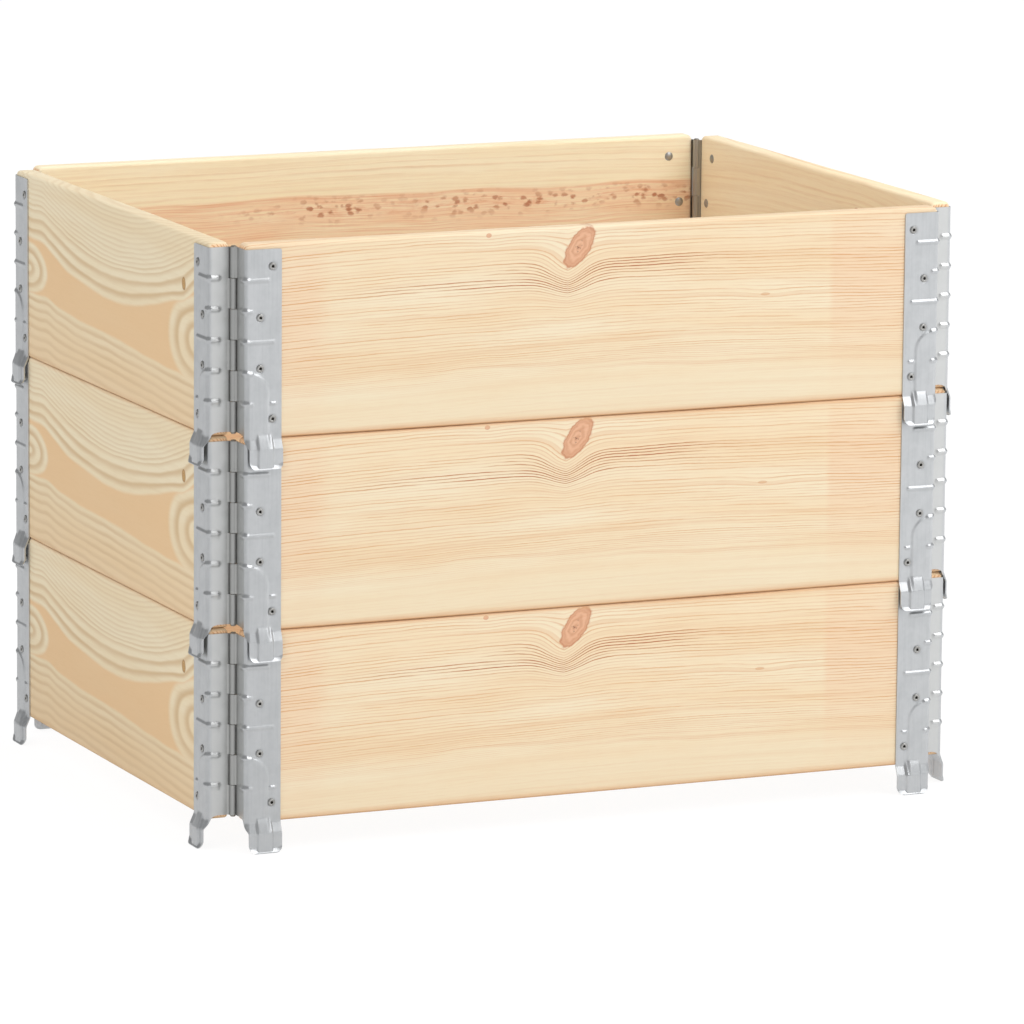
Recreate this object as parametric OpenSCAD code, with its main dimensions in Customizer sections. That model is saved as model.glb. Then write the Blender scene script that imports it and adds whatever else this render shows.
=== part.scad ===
// Stack of three folding pallet collars: pine boards joined at the corners by pressed steel hinges.
// Millimetres. The origin is on the ground, in the middle of the stack. +X runs along the long boards,
// -Y faces the viewer and +Z is up. The feet of the lowest collar stand on the ground.

/* [Collar] */
// Length of a collar over the outer faces of its short boards
collar_length = 800; // [500:5:1200]
// Width of a collar over the outer faces of its long boards
collar_width = 600; // [400:5:800]
// Height of a board, which is the height of one collar in the stack
board_height = 190; // [165:1:240]
// Thickness of a board
board_thickness = 20; // [16:0.5:26]
// Radius of a board's eased long edges
edge_radius = 4; // [1:0.5:6]
// Radius of a board's corners, seen from its face
corner_radius = 5; // [2:0.5:8]

/* [Hinge leaf] */
// Thickness of the steel sheet
sheet = 1.4; // [1:0.1:2]
// Width of the plate on a board's outer face
plate_width = 36.5; // [32:0.5:50]
// Radius of the plate's top corner
plate_corner = 2; // [0.5:0.5:5]
// Height of the bare wood above a leaf
leaf_top_drop = 5; // [4:0.5:10]
// Height of the end cap's lower edge above the board's lower edge
cap_rise = 4; // [2:0.5:8]
// Inside radius of the bend around a board's end
bend_radius = 1.6; // [1:0.1:3]

/* [Hinge pin] */
// Diameter of a hinge pin
pin_diameter = 4; // [3:0.1:5]
// Running clearance around a pin
pin_clearance = 0.05; // [0.02:0.01:0.1]
// Distance of the pin's axis inside the boards' inner faces
pin_inset = 4; // [3.5:0.1:6]
// Clearance between a knuckle and the edge of the other leaf's end cap
cap_clearance = 0.35; // [0.2:0.05:0.8]
// Gap between two knuckles of a hinge
knuckle_gap = 0.6; // [0.3:0.1:1.5]
// Diameter of a pin's peened ends
pin_head_diameter = 5.6; // [5.2:0.1:7]
// Height of a pin's peened ends
pin_head_height = 1.4; // [0.8:0.1:2]
// Play of a pin along its axis
pin_play = 0.3; // [0.1:0.1:0.6]

/* [Pressed beads] */
// Width of a bead
bead_width = 6; // [4:0.5:8]
// Height of a bead above the sheet
bead_height = 1.4; // [0.6:0.1:1.6]
// Length of the beads on the end cap, from the board's outer face
bead_cap_length = 12; // [8:0.5:15]
// Length of the uppermost bead on the plate
bead_long = 25; // [18:0.5:30]
// Length of the middle bead on the plate
bead_ridge = 30.5; // [24:0.5:34]
// Length of the other beads on the plate
bead_short = 8; // [5:0.5:10]
// Length of the lowest bead's outer part
bead_dash = 8; // [4:0.5:10]

/* [Raised panel] */
// Distance of the panel's straight edge from the board's end
panel_width = 23; // [18:0.5:23]
// Height of the panel's top above the board's lower edge
panel_top = 64.5; // [48:0.5:66]
// Radius of the panel's rounded corner
panel_radius = 20; // [6:0.5:20]
// Height of the panel above the sheet
panel_raise = 1.2; // [0.5:0.1:1.6]

/* [Foot] */
// Reach of a foot below its board
foot_drop = 30; // [26:0.5:40]
// Height of the slanted part of a foot
foot_slope = 13; // [8:0.5:13]
// Offset of a foot's inner face from the board's outer face
foot_offset = 4.4; // [3.6:0.1:7]
// Height of the flared lip
lip_height = 5; // [3:0.5:8]
// Outward flare of the lip
lip_flare = 2; // [1:0.1:3.5]
// Inset of the foot's lower corner on the hinge side
foot_taper = 2; // [1:0.5:9]
// Radius of a foot's lower corners
foot_corner = 7.5; // [2:0.5:9]
// Distance of the foot's ridge from the board's end
ridge_start = 10.5; // [10:0.5:14]
// Width of the foot's ridge
ridge_width = 16; // [10:0.5:17]
// Height of the ridge above the foot's sheet
ridge_height = 2; // [1:0.1:3]
// Height at which the ridge runs out on the panel
ridge_top = 6; // [4:0.5:12]

/* [Rivets] */
// Diameter of a rivet's shank
rivet_diameter = 5; // [4:0.1:6]
// Clearance around a rivet's shank
rivet_clearance = 0.1; // [0.05:0.05:0.3]
// Diameter of the round heads inside the collar
head_diameter = 9.5; // [8:0.1:11]
// Height of the round heads inside the collar
head_height = 1.8; // [1:0.1:2.6]
// Diameter of the clinched rims outside
rim_diameter = 7.4; // [6.6:0.1:8]
// Height of the clinched rims outside
rim_height = 0.9; // [0.5:0.1:1.4]
// Diameter of the hollow end of a rivet
hollow_diameter = 3; // [2:0.1:3.4]
// Depth of the hollow end of a rivet
hollow_depth = 7; // [3:0.5:12]
// Distance of the inner rivet column from the board's end
near_column = 14.5; // [14:0.5:18]
// Distance of the outer rivet column from the board's end
far_column = 27.2; // [27:0.1:30]
// Distance of the top rivet row below the board's upper edge
top_row_drop = 22; // [18:0.5:24]
// Height of the bottom rivet row above the board's lower edge
bottom_row_rise = 19; // [17:0.5:22]

/* [Hidden] */

// Collars from the ground up, and their boards in order around the collar, seen from above.
COLLARS = ["bottom", "middle", "top"];
SIDES = ["front", "right", "back", "left"];
// The corner at the left end of each board, seen from outside the collar.
CORNERS = ["front_left", "front_right", "back_right", "back_left"];
ENDS = ["left", "right"];

board_name = function(level, side) str(COLLARS[level], "_", SIDES[side], "_board");
leaf_name = function(level, side, end) str(COLLARS[level], "_", SIDES[side], "_leaf_", ENDS[end]);
rivets_name = function(level, side) str(COLLARS[level], "_", SIDES[side], "_rivets");
pin_name = function(level, side) str(COLLARS[level], "_pin_", CORNERS[side]);

KNUCKLES = 6;
ROWS = 4;
ARC_STEPS = 6;
// Overlap of pieces of one solid, so that they join
JOIN = 0.5;
// Extra reach of a cut past the surface it opens
CUT = 1;
$fn = 48;

// Hinge geometry, measured from a board's end and its outer face
bore_radius = pin_diameter / 2 + pin_clearance;
knuckle_radius = bore_radius + sheet;
pin_from_face = board_thickness + pin_inset;
board_setback = pin_from_face + knuckle_radius;
leaf_top = board_height - leaf_top_drop;
knuckle_pitch = (leaf_top - cap_rise) / KNUCKLES;
// The rolled sheet leaves the end cap a little before the pin's axis
roll_start = pin_from_face - knuckle_radius / 4;
bend_outside = bend_radius + sheet;
// The end cap reaches a little past the board's inner face, up to the other leaf's knuckles
cap_edge = pin_from_face
    - sqrt(pow(knuckle_radius + cap_clearance, 2) - pow(knuckle_radius - sheet, 2));
// The wood is rounded a little more than the bend that lies around it
BEND_ROOM = 0.4;
wood_bend = bend_radius + BEND_ROOM;

rivet_hole = rivet_diameter / 2 + rivet_clearance;
row_pitch = (board_height - top_row_drop - bottom_row_rise) / (ROWS - 1);

function board_span(side) = (side % 2 == 0) ? collar_length : collar_width;
function board_offset(side) = (side % 2 == 0) ? collar_width / 2 : collar_length / 2;
function board_length(side) = board_span(side) - 2 * board_setback;
function level_height(level) = foot_drop + level * board_height;

// Rows are counted from the bottom: the outer ones sit in the far column, the middle ones in the near column.
function row_height(row) = bottom_row_rise + row * row_pitch;
function row_column(row) = (row == 0 || row == ROWS - 1) ? far_column : near_column;

// Beads are counted from the top, and sit level with the gaps between the knuckles.
function bead_level(bead) = leaf_top - bead * knuckle_pitch;
function bead_length(bead) = bead == 1 ? bead_long : bead == 3 ? bead_ridge : bead_short;

// Points of an arc around a centre, from one angle to another
function arc(centre, radius, from, to, steps = ARC_STEPS) = [
    for (i = [0:steps])
        let (a = from + (to - from) * i / steps)
            [centre[0] + radius * cos(a), centre[1] + radius * sin(a)]
];

// Rectangle from low to high with all four corners rounded
function rounded_rectangle(low, high, r) = concat(
    arc([high[0] - r, high[1] - r], r, 0, 90),
    arc([low[0] + r, high[1] - r], r, 90, 180),
    arc([low[0] + r, low[1] + r], r, 180, 270),
    arc([high[0] - r, low[1] + r], r, 270, 360)
);

// Outline in X and Z, drawn out towards -Y from the board's outer face
module along_face(depth) {
    rotate([90, 0, 0])
        linear_extrude(depth)
            children();
}

// Outline in Y and Z, drawn out along +X
module along_board(length) {
    rotate([90, 0, 90])
        linear_extrude(length)
            children();
}

// The frame of one board: X along the board from its middle, Y = 0 on its outer face, Z = 0 on its lower edge
module on_board(level, side) {
    translate([0, 0, level_height(level)])
        rotate([0, 0, 90 * side])
            translate([0, -board_offset(side), 0])
                children();
}

// The frame of one end of a board: X = 0 on the board's end and X runs into the board
module on_end(side, end) {
    mirror([end, 0, 0])
        translate([-board_length(side) / 2, 0, 0])
            children();
}

// Cylinders through the rivet places of one leaf
module rivet_places() {
    for (row = [0:ROWS - 1])
        translate([row_column(row), board_thickness, row_height(row)])
            rotate([90, 0, 0])
                children();
}

module board(side) {
    length = board_length(side);
    color("burlywood")
        difference() {
            intersection() {
                translate([-length / 2, 0, 0])
                    along_board(length)
                        polygon(rounded_rectangle([0, 0], [board_thickness, board_height], edge_radius));
                translate([0, board_thickness, 0])
                    along_face(board_thickness)
                        polygon(rounded_rectangle(
                            [-length / 2, 0], [length / 2, board_height], corner_radius));
                linear_extrude(board_height)
                    polygon(rounded_rectangle(
                        [-length / 2, 0], [length / 2, board_thickness], wood_bend));
            }
            for (end = [0, 1])
                on_end(side, end)
                    rivet_places()
                        translate([0, 0, -CUT])
                            cylinder(r = rivet_hole, h = board_thickness + 2 * CUT);
        }
}

// Plate, bend and end cap in plan
function leaf_plan() = concat(
    [[plate_width, 0], [plate_width, -sheet]],
    arc([bend_radius, bend_radius], bend_outside, 270, 180),
    [[-sheet, cap_edge], [0, cap_edge]],
    arc([bend_radius, bend_radius], bend_radius, 180, 270)
);

// Half section of a bead, from inside the sheet (x = 0 on the sheet's outer face) to its crest
function bead_section() = concat(
    [[-sheet / 2, -bead_width / 2]],
    [for (i = [0:ARC_STEPS])
        let (a = -90 + 180 * i / ARC_STEPS)
            [bead_height * cos(a), bead_width / 2 * sin(a)]],
    [[-sheet / 2, bead_width / 2]]
);

module leaf_sheet() {
    // Cut under the end cap: a fillet runs from the cap's lower edge down the bend
    under_cap = concat(
        arc([bend_radius + cap_rise, 0], cap_rise, 90, 180),
        [[bend_radius, -CUT], [cap_edge + CUT, -CUT], [cap_edge + CUT, cap_rise]]
    );
    // Cut at the plate's top corner
    corner_at = [plate_width - plate_corner, leaf_top - plate_corner];
    top_corner = concat(
        arc(corner_at, plate_corner, 0, 90),
        [[plate_width - plate_corner, leaf_top + CUT], [plate_width + CUT, leaf_top + CUT],
         [plate_width + CUT, leaf_top - plate_corner]]
    );
    difference() {
        linear_extrude(leaf_top)
            polygon(leaf_plan());
        translate([-sheet - CUT, 0, 0])
            along_board(sheet + 2 * CUT)
                polygon(under_cap);
        translate([0, CUT, 0])
            along_face(sheet + 2 * CUT)
                polygon(top_corner);
    }
}

// A bead along the end cap, around the bend and along the plate
module bead(level, length) {
    translate([0, 0, level]) {
        translate([bend_radius, -sheet, 0])
            rotate([90, 0, 90])
                linear_extrude(length - bend_radius)
                    polygon([for (p = bead_section()) [-p[0], p[1]]]);
        translate([bend_radius, bend_radius, 0])
            rotate([0, 0, 180])
                rotate_extrude(angle = 90)
                    polygon([for (p = bead_section()) [bend_outside + p[0], p[1]]]);
        translate([-sheet, bead_cap_length, 0])
            rotate([90, 0, 0])
                linear_extrude(bead_cap_length - bend_radius)
                    polygon([for (p = bead_section()) [-p[0], p[1]]]);
    }
}

module beads() {
    for (number = [1:KNUCKLES - 1])
        bead(bead_level(number), bead_length(number));
    // The lowest bead goes on beside the raised panel
    translate([panel_width + JOIN, -sheet, bead_level(KNUCKLES - 1)])
        rotate([90, 0, 90])
            linear_extrude(bead_dash)
                polygon([for (p = bead_section()) [-p[0], p[1]]]);
}

// Raised panel above the foot, with one large rounded corner
module raised_panel() {
    low_x = bend_radius + sheet;
    // The rounded corner ends before the bend
    radius = min(panel_radius, panel_width - low_x);
    along_face(sheet + panel_raise)
        polygon(concat(
            [[low_x, 0], [panel_width, 0]],
            arc([panel_width - radius, panel_top - radius], radius, 0, 90),
            [[low_x, panel_top]]
        ));
}

// Section of the foot in Y and Z: inner face down, lip, and outer face up
function foot_section() =
    let (lip_top = -(foot_drop - lip_height))
        [
            [0, JOIN],
            [0, 0],
            [-foot_offset, -foot_slope],
            [-foot_offset, lip_top],
            [-foot_offset - lip_flare, -foot_drop],
            [-foot_offset - lip_flare - sheet, -foot_drop],
            [-foot_offset - sheet, lip_top],
            [-foot_offset - sheet, -foot_slope],
            [-sheet, 0],
            [-sheet, JOIN],
        ];

// Section of the ridge that runs from the panel down the foot
function ridge_section() =
    let (lip_top = -(foot_drop - lip_height),
         middle = foot_offset + sheet / 2,
         crest = foot_offset + sheet + ridge_height)
        [
            [-sheet / 2, ridge_top],
            [-sheet / 2, 0],
            [-middle, -foot_slope],
            [-middle, lip_top],
            [-middle - lip_flare, -foot_drop],
            [-middle - lip_flare - sheet / 2, -foot_drop],
            [-crest, lip_top],
            [-crest, -foot_slope],
            [-sheet - panel_raise, ridge_top],
        ];

module foot() {
    right = plate_width;
    intersection() {
        along_board(plate_width)
            polygon(foot_section());
        translate([0, CUT, 0])
            along_face(foot_offset + lip_flare + sheet + 2 * CUT)
                polygon(concat(
                    [[right, JOIN], [bend_radius, JOIN], [bend_radius, 0]],
                    arc([foot_taper + foot_corner, -foot_drop + foot_corner], foot_corner, 180, 270),
                    arc([right - foot_corner, -foot_drop + foot_corner], foot_corner, 270, 360)
                ));
    }
    translate([ridge_start, 0, 0])
        along_board(ridge_width)
            polygon(ridge_section());
}

// Rolled knuckles around the pin: the first leaf has the odd ones from the top, the second the even ones
module knuckles(end) {
    for (number = [end:2:KNUCKLES - 1]) {
        // The outermost knuckles end flush with the sheet
        low_gap = number == KNUCKLES - 1 ? 0 : knuckle_gap / 2;
        high_gap = number == 0 ? 0 : knuckle_gap / 2;
        translate([0, 0, leaf_top - (number + 1) * knuckle_pitch + low_gap])
            knuckle(knuckle_pitch - low_gap - high_gap);
    }
}

module knuckle(height) {
    translate([-sheet, board_thickness - JOIN, 0])
        cube([sheet, roll_start - board_thickness + JOIN, height]);
    translate([-knuckle_radius, pin_from_face, 0])
        cylinder(r = knuckle_radius, h = height);
}

module leaf(side, end) {
    color("silver")
        on_end(side, end)
            difference() {
                union() {
                    leaf_sheet();
                    beads();
                    raised_panel();
                    foot();
                    knuckles(end);
                }
                translate([-knuckle_radius, pin_from_face, 0])
                    cylinder(r = bore_radius, h = board_height);
                rivet_places()
                    translate([0, 0, board_thickness - CUT])
                        cylinder(r = rivet_hole, h = sheet + 2 * CUT);
            }
}

// One rivet from the head on the inner face (z = 0) to the clinched rim outside
module rivet() {
    head_radius = head_diameter / 2;
    rim_radius = rim_diameter / 2;
    hollow_radius = hollow_diameter / 2;
    grip = board_thickness + sheet;
    rim_top = grip + rim_height;
    dome_radius = (head_radius * head_radius + head_height * head_height) / (2 * head_height);
    dome_angle = asin(head_radius / dome_radius);
    rim_middle = (rim_radius + hollow_radius) / 2;
    rotate_extrude()
        polygon(concat(
            arc([0, dome_radius - head_height], dome_radius, 270, 270 + dome_angle),
            [
                [rivet_diameter / 2, 0],
                [rivet_diameter / 2, grip],
                [rim_radius, grip],
                [rim_middle, rim_top],
                [hollow_radius, grip + rim_height / 2],
                [hollow_radius, rim_top - hollow_depth],
                [0, rim_top - hollow_depth],
            ]
        ));
}

module rivets(side) {
    color("lightgray")
        for (end = [0, 1])
            on_end(side, end)
                rivet_places()
                    rivet();
}

// The pin at the left end of a board, peened over the top and bottom knuckles
module pin(side) {
    low = cap_rise - pin_play;
    head_radius = pin_head_diameter / 2;
    radius = pin_diameter / 2;
    crown_radius = head_radius - pin_head_height / 2;
    color("gray")
        translate([-board_length(side) / 2 - knuckle_radius, pin_from_face, 0])
            rotate_extrude()
                polygon([
                    [0, low - pin_head_height],
                    [crown_radius, low - pin_head_height],
                    [head_radius, low - pin_head_height / 2],
                    [head_radius, low],
                    [radius, low],
                    [radius, leaf_top],
                    [head_radius, leaf_top],
                    [head_radius, leaf_top + pin_head_height / 2],
                    [crown_radius, leaf_top + pin_head_height],
                    [0, leaf_top + pin_head_height],
                ]);
}

for (level = [0:len(COLLARS) - 1])
    for (side = [0:len(SIDES) - 1]) {
        on_board(level, side) board(side);
        on_board(level, side) leaf(side, 0);
        on_board(level, side) leaf(side, 1);
        on_board(level, side) rivets(side);
        on_board(level, side) pin(side);
    }
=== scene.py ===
"""Stack of three folding pallet collars: pine boards, pressed galvanised hinges, rivets and pins."""

import math

import bpy
import numpy as np
from mathutils import Matrix, Vector

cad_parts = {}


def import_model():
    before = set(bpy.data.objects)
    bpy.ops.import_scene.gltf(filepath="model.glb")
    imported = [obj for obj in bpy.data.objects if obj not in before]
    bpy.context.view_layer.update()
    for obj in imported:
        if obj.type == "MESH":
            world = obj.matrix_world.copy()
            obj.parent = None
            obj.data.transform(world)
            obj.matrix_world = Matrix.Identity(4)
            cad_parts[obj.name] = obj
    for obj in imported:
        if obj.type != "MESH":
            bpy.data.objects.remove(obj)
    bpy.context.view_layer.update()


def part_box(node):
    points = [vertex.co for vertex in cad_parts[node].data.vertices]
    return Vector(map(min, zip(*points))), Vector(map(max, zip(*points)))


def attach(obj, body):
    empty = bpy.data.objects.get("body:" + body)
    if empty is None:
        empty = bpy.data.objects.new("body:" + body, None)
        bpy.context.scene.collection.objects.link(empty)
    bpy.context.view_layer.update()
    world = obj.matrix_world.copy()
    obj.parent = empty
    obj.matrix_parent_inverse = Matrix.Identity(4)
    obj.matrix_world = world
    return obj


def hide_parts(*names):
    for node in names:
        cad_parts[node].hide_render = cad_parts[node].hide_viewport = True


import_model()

COLLARS = ("bottom", "middle", "top")
SIDES = ("front", "right", "back", "left")
# The corner at the left end of each board, seen from outside
CORNERS = ("front_left", "front_right", "back_right", "back_left")

# Sizes in millimetres. Most are those of the solids; edges, beads and feet are rounder here
MM = 0.001
MM_PER_METRE = 1000.0
BOARD_HEIGHT = 190.0
BOARD_THICKNESS = 20.0
EDGE_RADIUS = 4.0
LOWER_EDGE_RADIUS = 2.4
CORNER_RADIUS = 5.0
# Cross-sections on half a board, and the waves of its upper edge
HALF_STATIONS = 46
WAVES = 5
WAVE_RATE = 0.011
EDGE_DROP = 0.1
SHEET = 1.4
PLATE_WIDTH = 36.5
PLATE_CORNER = 2.0
LEAF_TOP = 185.0
CAP_RISE = 4.0
BEND_RADIUS = 1.6
# Length of the bend along the middle of the sheet
BEND_LENGTH = (BEND_RADIUS + SHEET / 2) * math.pi / 2
WOOD_BEND = 2.0
BORE_RADIUS = 2.05
PIN_RADIUS = 2.0
PIN_INSET = 4.0
PIN_HEAD_RADIUS = 2.8
PIN_HEAD_HEIGHT = 1.4
PIN_PLAY = 0.3
KNUCKLES = 6
KNUCKLE_GAP = 0.6
KNUCKLE_RADIUS = BORE_RADIUS + SHEET
KNUCKLE_PITCH = (LEAF_TOP - CAP_RISE) / KNUCKLES
PIN_FROM_FACE = BOARD_THICKNESS + PIN_INSET
# The end cap reaches from the bend to the other leaf's knuckles
CAP_CLEARANCE = 0.35
CAP_EDGE = PIN_FROM_FACE - math.sqrt((KNUCKLE_RADIUS + CAP_CLEARANCE) ** 2 - (KNUCKLE_RADIUS - SHEET) ** 2)
CAP_INNER_EDGE = 22.2
CAP_FILLET = 9.0
KNUCKLE_FILLET = 2.2
# How far a knuckle's sheet reaches onto the cap, and stays straight before the pin
KNUCKLE_OVERLAP = 0.6
KNUCKLE_START = 0.5
ROLL_STEPS = 24
ROLL_END_STEPS = 9

BEAD_HALF_WIDTH = 3.0
CAP_BEAD_HALF_WIDTH = 3.7
BEAD_HEIGHT = 1.8
# Share of a bead's half width that is flat, and share of its fall that is rounded
BEAD_CREST = 0.12
BEAD_ROUNDING = 0.4
# Where a bead changes from its size on the plate to its size on the cap
BEAD_CHANGE = (4.0, -1.0)
# The left-hand leaf's plate is pressed less deeply
PLATE_BEADS = (1.0, 1.4)
DASH_HEIGHT = 1.4
BEAD_ON_CAP = 12.0
# Reach of each bead on the plate, counted from the top
BEAD_LENGTHS = (25.0, 8.0, 30.5, 8.0, 8.0)
DASH_ENDS = (25.5, 29.5)
DASH_HALF_WIDTH = 2.4
PANEL_WIDTH = 23.0
PANEL_TOP = 64.5
PANEL_RADIUS = 20.0
PANEL_RAISE = 1.2
# Half the length of the rounding at the panel's edge, and the rise from the bend
PANEL_SOFTNESS = 1.8
PANEL_START = 3.0
FOOT_DROP = 30.0
FOOT_SLOPE = 10.5
# Half the length of the rounding at both ends of the slope
SLOPE_SOFTNESS = 1.3
FOOT_OFFSET = 4.6
LIP_HEIGHT = 5.0
LIP_FLARE = 2.8
# Share of the lip's height that is flared, below which its rim stands upright
LIP_RIM = 0.86
# How far the lip turns with the foot's round corners
LIP_TURN = 0.45
FOOT_TAPER = 2.0
FOOT_CORNER = 7.5
FOOT_STRAIGHT = FOOT_DROP - FOOT_CORNER
FOOT_NECK = 11.0
RIDGE = (10.5, 26.5)
RIDGE_HEIGHT = 2.0
RIDGE_TOP = 6.0
RIDGE_SOFTNESS = 1.0
DIMPLE_DEPTH = 0.5
DIMPLE_RADII = (5.4, 3.8)
# Spacing of the leaf's grid rows, over pressed shapes and between them
CLOSE_ROW = 0.75
OPEN_ROW = 4.0
# How far the close rows reach beyond beads, rivets and arcs
BEAD_ZONE = 4.2
RIVET_ZONE = 5.8
ARC_ZONE = 2.0
FOOT_ROWS = 32
# The leaf's grid columns, on the flat of the cap, along its fillet, in the bend and on the plate
CAP_COLUMNS = 6
FILLET_COLUMNS = 15
BEND_COLUMNS = 7
PLATE_COLUMNS = 47
FILLET_REACH = 11.0
# A point this close to an edge counts as on it
TINY = 0.01

RIVET_RADIUS = 2.5
# Faces of the sheet whose middle lies this close to a rivet's axis are left open
HOLE_RADIUS = 2.4
RIVET_HEAD_RADIUS = 4.75
RIVET_HEAD_HEIGHT = 1.8
RIM_RADIUS = 3.7
RIM_HEIGHT = 0.9
HOLLOW_RADIUS = 1.35
HOLLOW_DEPTH = 2.1
# Rivet places on a leaf: distance from the board's end, and height
RIVETS = ((27.2, 19.0), (14.5, 68.7), (14.5, 118.3), (27.2, 168.0))


def srgb(red, green, blue):
    """A colour given as 0 to 255 screen values, as Blender's linear RGBA."""
    def linear(value):
        part = value / 255
        return part / 12.92 if part <= 0.04045 else ((part + 0.055) / 1.055) ** 2.4
    return (linear(red), linear(green), linear(blue), 1.0)


# Node graphs written as arithmetic


class Wire:
    """An output socket that makes Math nodes when it is used in arithmetic."""

    def __init__(self, graph, socket):
        self.graph = graph
        self.socket = socket

    def __add__(self, other):
        return self.graph.math("ADD", self, other)

    def __sub__(self, other):
        return self.graph.math("SUBTRACT", self, other)

    def __mul__(self, other):
        return self.graph.math("MULTIPLY", self, other)

    def __truediv__(self, other):
        return self.graph.math("DIVIDE", self, other)

    def __rsub__(self, other):
        return self.graph.math("SUBTRACT", other, self)

    __radd__ = __add__
    __rmul__ = __mul__


class Graph:
    """A node tree, with short calls for the nodes that the looks need."""

    def __init__(self, tree):
        self.tree = tree

    def node(self, kind, **settings):
        made = self.tree.nodes.new(kind)
        for key, value in settings.items():
            setattr(made, key, value)
        return made

    def feed(self, socket, value):
        if isinstance(value, Wire):
            self.tree.links.new(value.socket, socket)
        else:
            socket.default_value = value

    def math(self, operation, *values, clamp=False):
        made = self.node("ShaderNodeMath", operation=operation, use_clamp=clamp)
        for socket, value in zip(made.inputs, values):
            self.feed(socket, value)
        return Wire(self, made.outputs[0])

    def parts(self, kind):
        """The three parts of one kind of texture coordinate."""
        place = self.node("ShaderNodeTexCoord")
        split = self.node("ShaderNodeSeparateXYZ")
        self.tree.links.new(place.outputs[kind], split.inputs[0])
        return [Wire(self, out) for out in split.outputs]

    def coordinates(self):
        """The three object coordinates, in millimetres."""
        return [part * MM_PER_METRE for part in self.parts("Object")]

    def vector(self, x, y, z):
        made = self.node("ShaderNodeCombineXYZ")
        for socket, value in zip(made.inputs, (x, y, z)):
            self.feed(socket, value)
        return Wire(self, made.outputs[0])

    def fed(self, kind, values, output=0, **settings):
        """One output of a new node, whose inputs are given by name."""
        made = self.node(kind, **settings)
        for name, value in values.items():
            self.feed(made.inputs[name], value)
        return Wire(self, made.outputs[output])

    def noise(self, vector, scale, detail, roughness=0.5):
        values = {"Vector": vector, "Scale": scale, "Detail": detail, "Roughness": roughness}
        return self.fed("ShaderNodeTexNoise", values)

    def field(self, x, y, z, detail, roughness=0.5):
        """Noise over three values that are scaled beforehand."""
        return self.noise(self.vector(x, y, z), 1.0, detail, roughness)

    def cells(self, vector, scale=1.0):
        """Distance to the nearest of many scattered points."""
        return self.fed("ShaderNodeTexVoronoi", {"Vector": vector, "Scale": scale}, "Distance")

    def chance(self, value):
        """A steady random number for each whole value."""
        return self.fed("ShaderNodeTexWhiteNoise", {"W": value}, "Value", noise_dimensions="1D")

    def smooth(self, low, high, value):
        """0 below low, 1 above high, and a smooth step between them."""
        values = {"Value": value, "From Min": low, "From Max": high}
        return self.fed("ShaderNodeMapRange", values, interpolation_type="SMOOTHSTEP")

    def ray(self, kind):
        """1 where the light path is of one kind, 0 elsewhere."""
        return self.fed("ShaderNodeLightPath", {}, kind)

    def hill(self, value, centre, width):
        """A bell curve around centre."""
        off = (value - centre) / width
        return self.math("EXPONENT", off * off * -1.0)

    def mix(self, factor, first, second):
        made = self.node("ShaderNodeMix", data_type="RGBA")
        sockets = [s for s in made.inputs if s.enabled]
        self.feed(sockets[0], factor)
        self.feed(sockets[1], first)
        self.feed(sockets[2], second)
        return Wire(self, [s for s in made.outputs if s.enabled][0])


class MaterialGraph(Graph):
    """The node tree of a new material, with its shader."""

    def __init__(self, name):
        self.material = bpy.data.materials.new(name)
        self.material.use_nodes = True
        super().__init__(self.material.node_tree)
        self.shader = self.tree.nodes["Principled BSDF"]

    def set(self, name, value):
        """Gives a value or a wire to an input of the shader."""
        self.feed(self.shader.inputs[name], value)

    def bump(self, height, distance, strength):
        values = {"Height": height, "Distance": distance, "Strength": strength}
        self.set("Normal", self.fed("ShaderNodeBump", values))


# Pine

CREAM = srgb(241, 227, 198)
PALE = srgb(239, 223, 192)
PEACH = srgb(239, 217, 182)
PINK = srgb(238, 206, 174)
TAN = srgb(234, 197, 151)
RING_TAN = srgb(210, 178, 134)
LATEWOOD = srgb(218, 164, 116)
FLAME = srgb(184, 118, 78)
KNOT = srgb(226, 174, 140)
KNOT_RIM = srgb(194, 126, 90)
KNOT_HEART = srgb(140, 88, 64)
OLD_KNOT = srgb(204, 166, 112)
OLD_KNOT_RIM = srgb(152, 108, 66)
STREAK = srgb(246, 206, 170)
STREAK_LINE = srgb(226, 160, 122)
SPECKLE = srgb(186, 118, 86)
END_GRAIN = srgb(249, 212, 172)
END_LINE = srgb(206, 146, 98)
# Painted shade along the boards' edges, where they meet in the seams
EDGE_SHADE_TAN = srgb(220, 172, 126)
EDGE_SHADE_BROWN = srgb(172, 116, 68)


def board_axes(graph, side, base, half_length, half_width):
    """Along the board, up it and in from its outer face, in millimetres, for one side of the collar."""
    x, y, z = graph.coordinates()
    along, depth = {
        "front": (x, y + half_width),
        "right": (y, half_length - x),
        "back": (x * -1.0, half_width - y),
        "left": (y * -1.0, x + half_length),
    }[side]
    return along, z - base, depth


def ring_lines(graph, phase, along, seed):
    """Latewood line of each growth ring. Each has its own strength, which wavers along the board."""
    ring = graph.math("FLOOR", phase)
    part = phase - ring
    line = graph.smooth(0.50, 0.80, part) * (1.0 - graph.smooth(0.84, 1.0, part))
    own = graph.chance(ring + seed * 7.0)
    waver = graph.field(along * 0.012, phase * 0.7, seed + 3.0, 4.0, 0.6)
    return line * (own * 0.65 + 0.35) * (graph.smooth(0.32, 0.62, waver) * 0.9 + 0.1)


def flow_round_knots(graph, grain, along, up, knots):
    """The grain bends round each knot, to a blunt point below it."""
    for spot in knots:
        du = graph.math("ABSOLUTE", along - spot["at"][0] - spot["lean"])
        blunt = graph.math("EXPONENT", du * (-1.0 / spot["reach"][0]))
        round_part = graph.hill(along, spot["at"][0] + spot["lean"], spot["reach"][0] * 1.5)
        near = graph.hill(up, spot["at"][1] - spot["below"], spot["reach"][1])
        grain = grain + (blunt * 0.28 + round_part * 0.72) * near * spot["dip"]
    return grain


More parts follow.
